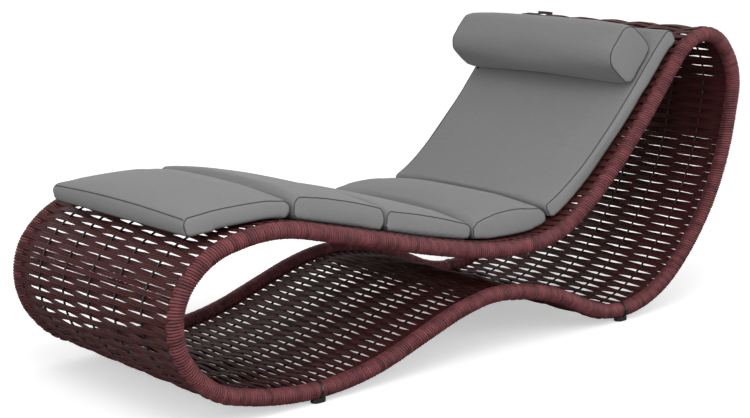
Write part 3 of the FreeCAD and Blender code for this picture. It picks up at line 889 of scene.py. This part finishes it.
class LOUNGE_OT_weave(bpy.types.Operator):
    """Weaves the band's rows over and under the stakes, bay by bay"""
    bl_idname = "lounge.weave"
    bl_label = "Woven band"

    def execute(self, context):
        rails = context.scene.lounge_rails
        weave = context.scene.lounge_weave
        outline = lay_outline()
        tree = weave_tree()
        material = resin_strand("Woven polyethylene strand", context.scene.lounge_colours.weave,
                                (1.0, 0.1, 1.0), 0.35)
        bars = [outline.landmark(mark, distance) for _, mark, distance in CROSS_BARS]
        bars.append(bars[0] + outline.lap)
        spacing = rails.gauge / (weave.stakes + 1)
        number = 0
        for name, start, end in zip(WEAVE_NODES, bars, bars[1:]):
            steps = round((end - start) / weave.row_pitch)
            steps += (number + steps) % 2 if name == WEAVE_NODES[-1] else 0
            pitch = (end - start) / steps
            line = outline_line(outline, start, end - pitch, weave.level, 0, 0.003)
            obj = line_object(name + "_rows", line, False)
            run_tree(obj, tree, {
                "Rows": steps, "First Row": number, "Half Width": rails.gauge / 2 + ROW_OVERREACH,
                "Stake Spacing": spacing, "Swing": weave.swing, "Rail Rise": weave.rail_rise,
                "End Dip": weave.end_dip,
                "Strand": weave.dense_strand if name in DENSE_WEAVES else weave.strand,
                "Strand Pitch": weave.row_pitch / weave.strands, "Strands": weave.strands,
                "Points": ROW_POINTS, "Sides": STRAND_SIDES, "Wander": weave.wander, "Seed": number,
                "Material": material})
            finish_piece(obj, "frame", "weave", name)
            number += steps
        return {"FINISHED"}


class LOUNGE_OT_pads(bpy.types.Operator):
    """Fills the five pads and sews their welts"""
    bl_idname = "lounge.pads"
    bl_label = "Pads"

    def execute(self, context):
        pads = context.scene.lounge_pads
        outline = lay_outline()
        cloth = pad_cloth("Woven polyester cover", context.scene.lounge_colours.cover)
        cord = pad_cloth("Woven polyester welt", context.scene.lounge_colours.welt)
        rest = outline.crest_top - pads.foot_lean
        front = pads.foot_length - pads.foot_overlap
        place, heading = outline.pose(rest)
        foot_line = Run(*outline.walk(place, heading, -1 / pads.foot_bow, -front))
        foot_line.go(front, -front / pads.foot_bow)
        foot_line.follow(outline, rest, rest + pads.foot_overlap)
        self.pad("foot_pad", foot_line, 0, pads.foot_length, (0.042, 0.042, 0.038), 0.008,
                 cloth, cord)
        start = outline.crest_top + pads.calf_start
        for name, length, heights, crown in BENT_PADS:
            self.pad(name, outline, start, length, heights, crown, cloth, cord)
            start += length + pads.gap
        return {"FINISHED"}

    def pad(self, name, run, start, length, heights, crown, cloth, cord):
        """One pad along a stretch of a run."""
        pads = bpy.context.scene.lounge_pads
        loop = rounded_loop(length, heights, pads.corner, 0.02)

        near, far = PAD_SIDES[name]

        def place(point, side):
            distance, level = point
            share = distance / length
            low = -(near[0] + (near[1] - near[0]) * share)
            high = far[0] + (far[1] - far[0]) * share
            half = (high - low) / 2 - pads.waist * math.sin(math.pi * share)
            rise = level / pad_height(share, heights)
            swell = crown * (1 - side ** 2) * max(0.0, 2 * rise - 1)
            spread = half - TOP_INSET * max(0.0, 2 * rise - 1)
            return run.spot(start + distance, pads.rest_level + REST_GAP + level + swell,
                            (low + high) / 2 + side * spread)

        _, heading = run.pose(start + length / 2)
        outward = direction(heading + math.pi / 2)
        sides = [-1 + 2 * i / 24 for i in range(25)]
        obj = add_object(name + "_cushion", strip_mesh(name + "_cushion", loop, sides, place))
        fine = rounded_loop(length, heights, pads.corner, 0.004)
        seams = [[place(point, side) for point in fine] for side in (-1, 1)]
        if name == "foot_pad":
            inset = pads.corner / 3
            high = (inset, FRONT_PANEL_SHARE * heights[0])
            low = (inset, (1 - FRONT_PANEL_SHARE) * heights[0])
            steps = [0.98 * (2 * i / FRONT_SEAM_STEPS - 1) for i in range(FRONT_SEAM_STEPS + 1)]
            seams.append([place(high, side) for side in steps]
                         + [place(low, side) for side in reversed(steps)])
        inflate(obj, seams, outward, (0.0025, 0.008))
        finish_padding(obj, seams)
        obj.data.materials.clear()
        obj.data.materials.append(cloth)
        finish_piece(obj, "frame", "pad_cover", name)
        welt = tube(name + "_welt", [seam_on(obj, seam) for seam in seams], pads.welt, 8, cord)
        finish_piece(welt, "frame", "pad_cover")


class LOUNGE_OT_pillow(bpy.types.Operator):
    """Fills the head pillow and sews its welts"""
    bl_idname = "lounge.pillow"
    bl_label = "Head pillow"

    def execute(self, context):
        pads = context.scene.lounge_pads
        pillow = context.scene.lounge_pillow
        outline = lay_outline()
        middle = outline.landmark("head", pillow.place)
        start = outline.crest_top + pads.calf_start
        for _, length, heights, _ in BENT_PADS:
            back_start, back_length, back_heights = start, length, heights
            start += length + pads.gap
        level = (pads.rest_level + pillow.lift
                 + pad_height((middle - back_start) / back_length, back_heights))
        loop = self.outline_points(pillow)

        def place(point, side):
            along, up = point
            scale = 1 - 0.08 * side ** 4
            rise = 0.006 * (1 - side ** 2) + pillow.height * (1 - scale) / 2
            spot, heading = outline.pose(middle, level + rise)
            return (spot + direction(heading) * (along * scale)
                    + direction(heading + math.pi / 2) * (up * scale)
                    + Vector((0, side * pillow.half_length, 0)))

        _, heading = outline.pose(middle)
        outward = direction(heading + math.pi / 2)
        sides = [-1 + 2 * i / 24 for i in range(25)]
        obj = add_object("head_cushion", strip_mesh("head_cushion", loop, sides, place))
        seams = [[place(point, side) for point in loop] for side in (-1, 1)]
        inflate(obj, seams, outward, (0.007, 0.008))
        finish_padding(obj, seams)
        colours = context.scene.lounge_colours
        obj.data.materials.clear()
        obj.data.materials.append(pad_cloth("Woven polyester pillow cover", colours.cover))
        finish_piece(obj, "pillow", "pillow_cover", "head_pillow")
        welt = tube("head_cushion_welt", [seam_on(obj, seam) for seam in seams], pads.welt, 8,
                    pad_cloth("Woven polyester pillow welt", colours.welt))
        finish_piece(welt, "pillow", "pillow_cover")
        return {"FINISHED"}

    def outline_points(self, pillow):
        """The pillow's outline across, as places (along the back rest, up from it)."""
        points = []
        for centre, low, radius, start in (
                (1, True, pillow.lower_round, -90), (1, False, pillow.upper_round, 0),
                (-1, False, pillow.upper_round, 90), (-1, True, pillow.lower_round, 180)):
            x = centre * (pillow.depth / 2 - radius)
            z = radius if low else pillow.height - radius
            for step in range(9):
                angle = math.radians(start + 90 * step / 8)
                points.append((x + radius * math.cos(angle), z + radius * math.sin(angle)))
        loop = []
        for (x1, z1), (x2, z2) in zip(points, points[1:] + points[:1]):
            steps = max(1, round(math.hypot(x2 - x1, z2 - z1) / 0.005))
            loop += [(x1 + (x2 - x1) * i / steps, z1 + (z2 - z1) * i / steps)
                     for i in range(steps)]
        return loop


class LOUNGE_OT_fittings(bpy.types.Operator):
    """Gives the glides, ties, strap and buckle their materials"""
    bl_idname = "lounge.fittings"
    bl_label = "Fittings"

    def execute(self, context):
        colour = context.scene.lounge_colours.fitting
        nylon = moulded_nylon("Moulded nylon glide", colour, 0.45)
        materials = {
            "glides": nylon,
            "glide_ties": moulded_nylon("Nylon cable tie", colour, 0.4),
            "pillow_strap": webbing("Woven polyester webbing", colour),
            "strap_buckle": moulded_nylon("Moulded acetal buckle", colour, 0.35),
        }
        for name, material in materials.items():
            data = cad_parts[name].data
            data.materials.clear()
            data.materials.append(material)
        return {"FINISHED"}


class LOUNGE_OT_stage(bpy.types.Operator):
    """Sets up the floor, the light and the camera"""
    bl_idname = "lounge.stage"
    bl_label = "Stage"

    def execute(self, context):
        stage = context.scene.lounge_stage
        self.camera(context, stage)
        self.floor(stage)
        self.light("Key", (-2.0, -2.2, 4.2), 2.4, 48.0)
        self.light("Fill", (-3.4, -2.4, 1.0), 2.2, 48.0)
        self.light("Side", (1.6, -3.8, 1.6), 2.2, 50.0)
        world = bpy.data.worlds.new("Studio")
        context.scene.world = world
        world.use_nodes = True
        tree = world.node_tree
        tree.nodes.clear()
        seen = self.seen(tree)
        strength = node(tree, "ShaderNodeMapRange", {"Value": seen, "To Min": 0.6,
                                                     "To Max": 1.0}).outputs[0]
        sky = node(tree, "ShaderNodeBackground", {"Color": (1, 1, 1, 1), "Strength": strength})
        node(tree, "ShaderNodeOutputWorld", {"Surface": sky.outputs[0]})
        context.scene.view_settings.view_transform = "Standard"
        return {"FINISHED"}

    def seen(self, tree):
        """1 where a ray comes from the camera or through gloss or glass, else 0."""
        rays = node(tree, "ShaderNodeLightPath").outputs
        mirrored = node(tree, "ShaderNodeMath", {0: rays["Is Camera Ray"],
                                                 1: rays["Is Glossy Ray"]}, operation="MAXIMUM")
        return node(tree, "ShaderNodeMath", {0: mirrored.outputs[0],
                                             1: rays["Is Transmission Ray"]},
                    operation="MAXIMUM").outputs[0]

    def camera(self, context, stage):
        """The camera at the photograph's viewing angle."""
        data = bpy.data.cameras.new("Camera")
        data.lens = stage.lens
        data.sensor_width = 36.0
        data.clip_end = 50.0
        camera = add_object("Camera", data)
        back = Vector((math.sin(stage.yaw) * math.cos(stage.pitch),
                       -math.cos(stage.yaw) * math.cos(stage.pitch), math.sin(stage.pitch)))
        right = (-back).cross(Vector((0, 0, 1))).normalized()
        up = right.cross(-back)
        tilted = right * math.cos(stage.roll) + up * math.sin(stage.roll)
        upright = up * math.cos(stage.roll) - right * math.sin(stage.roll)
        turn = Matrix((tilted, upright, back)).transposed()
        camera.matrix_world = Matrix.Translation(Vector(stage.camera_place)) @ turn.to_4x4()
        context.scene.camera = camera

    def floor(self, stage):
        """A pale floor that the camera sees as white, apart from the object's shadow."""
        mesh = bpy.data.meshes.new("floor")
        reach = 14.0
        mesh.from_pydata([(-reach, -reach, 0), (reach, -reach, 0), (reach, reach, 0),
                          (-reach, reach, 0)], [], [(0, 1, 2, 3)])
        floor = add_object("floor", mesh)
        material, tree, shader = new_material("Matt painted studio floor")
        shader.inputs["Roughness"].default_value = 0.9
        shader.inputs["Emission Color"].default_value = (1, 1, 1, 1)
        rays = node(tree, "ShaderNodeLightPath").outputs
        pale = node(tree, "ShaderNodeMapRange", {"Value": rays["Is Camera Ray"],
                                                 "To Min": stage.floor[0], "To Max": 0.9})
        tree.links.new(pale.outputs[0], shader.inputs["Base Color"])
        glow = node(tree, "ShaderNodeMath", {0: rays["Is Camera Ray"], 1: 0.46},
                    operation="MULTIPLY").outputs[0]
        tree.links.new(glow, shader.inputs["Emission Strength"])
        mesh.materials.append(material)

    def light(self, name, place, size, power):
        """A square soft light that looks at the object's middle."""
        data = bpy.data.lights.new(name, "AREA")
        data.shape = "SQUARE"
        data.size = size
        data.energy = power
        light = add_object(name, data)
        aim = Vector((0, 0, 0.35)) - Vector(place)
        turn = aim.to_track_quat("-Z", "Y").to_matrix().to_4x4()
        light.matrix_world = Matrix.Translation(place) @ turn


STEPS = (LOUNGE_OT_stage, LOUNGE_OT_rails, LOUNGE_OT_bars, LOUNGE_OT_stakes, LOUNGE_OT_weave,
         LOUNGE_OT_pads, LOUNGE_OT_pillow, LOUNGE_OT_fittings)
GROUPS = {"lounge_rails": LoungeRails, "lounge_weave": LoungeWeave, "lounge_pads": LoungePads,
          "lounge_pillow": LoungePillow, "lounge_colours": LoungeColours,
          "lounge_stage": LoungeStage}


class VIEW3D_PT_lounge(bpy.types.Panel):
    bl_label = "Woven loop lounge"
    bl_space_type = "VIEW_3D"
    bl_region_type = "UI"
    bl_category = "Lounge"

    def draw(self, context):
        for step in STEPS:
            self.layout.operator(step.bl_idname)
        for name, group in GROUPS.items():
            box = self.layout.box()
            settings = getattr(context.scene, name)
            for key in group.__annotations__:
                box.prop(settings, key)


def register():
    for name, group in GROUPS.items():
        bpy.utils.register_class(group)
        setattr(bpy.types.Scene, name, PointerProperty(type=group))
    for step in STEPS:
        bpy.utils.register_class(step)
    bpy.utils.register_class(VIEW3D_PT_lounge)


def unregister():
    bpy.utils.unregister_class(VIEW3D_PT_lounge)
    for step in reversed(STEPS):
        bpy.utils.unregister_class(step)
    for name, group in GROUPS.items():
        delattr(bpy.types.Scene, name)
        bpy.utils.unregister_class(group)


def main():
    register()
    bpy.ops.lounge.stage()
    bpy.ops.lounge.rails()
    bpy.ops.lounge.bars()
    bpy.ops.lounge.stakes()
    bpy.ops.lounge.weave()
    bpy.ops.lounge.pads()
    bpy.ops.lounge.pillow()
    bpy.ops.lounge.fittings()


if __name__ == "__main__":
    main()
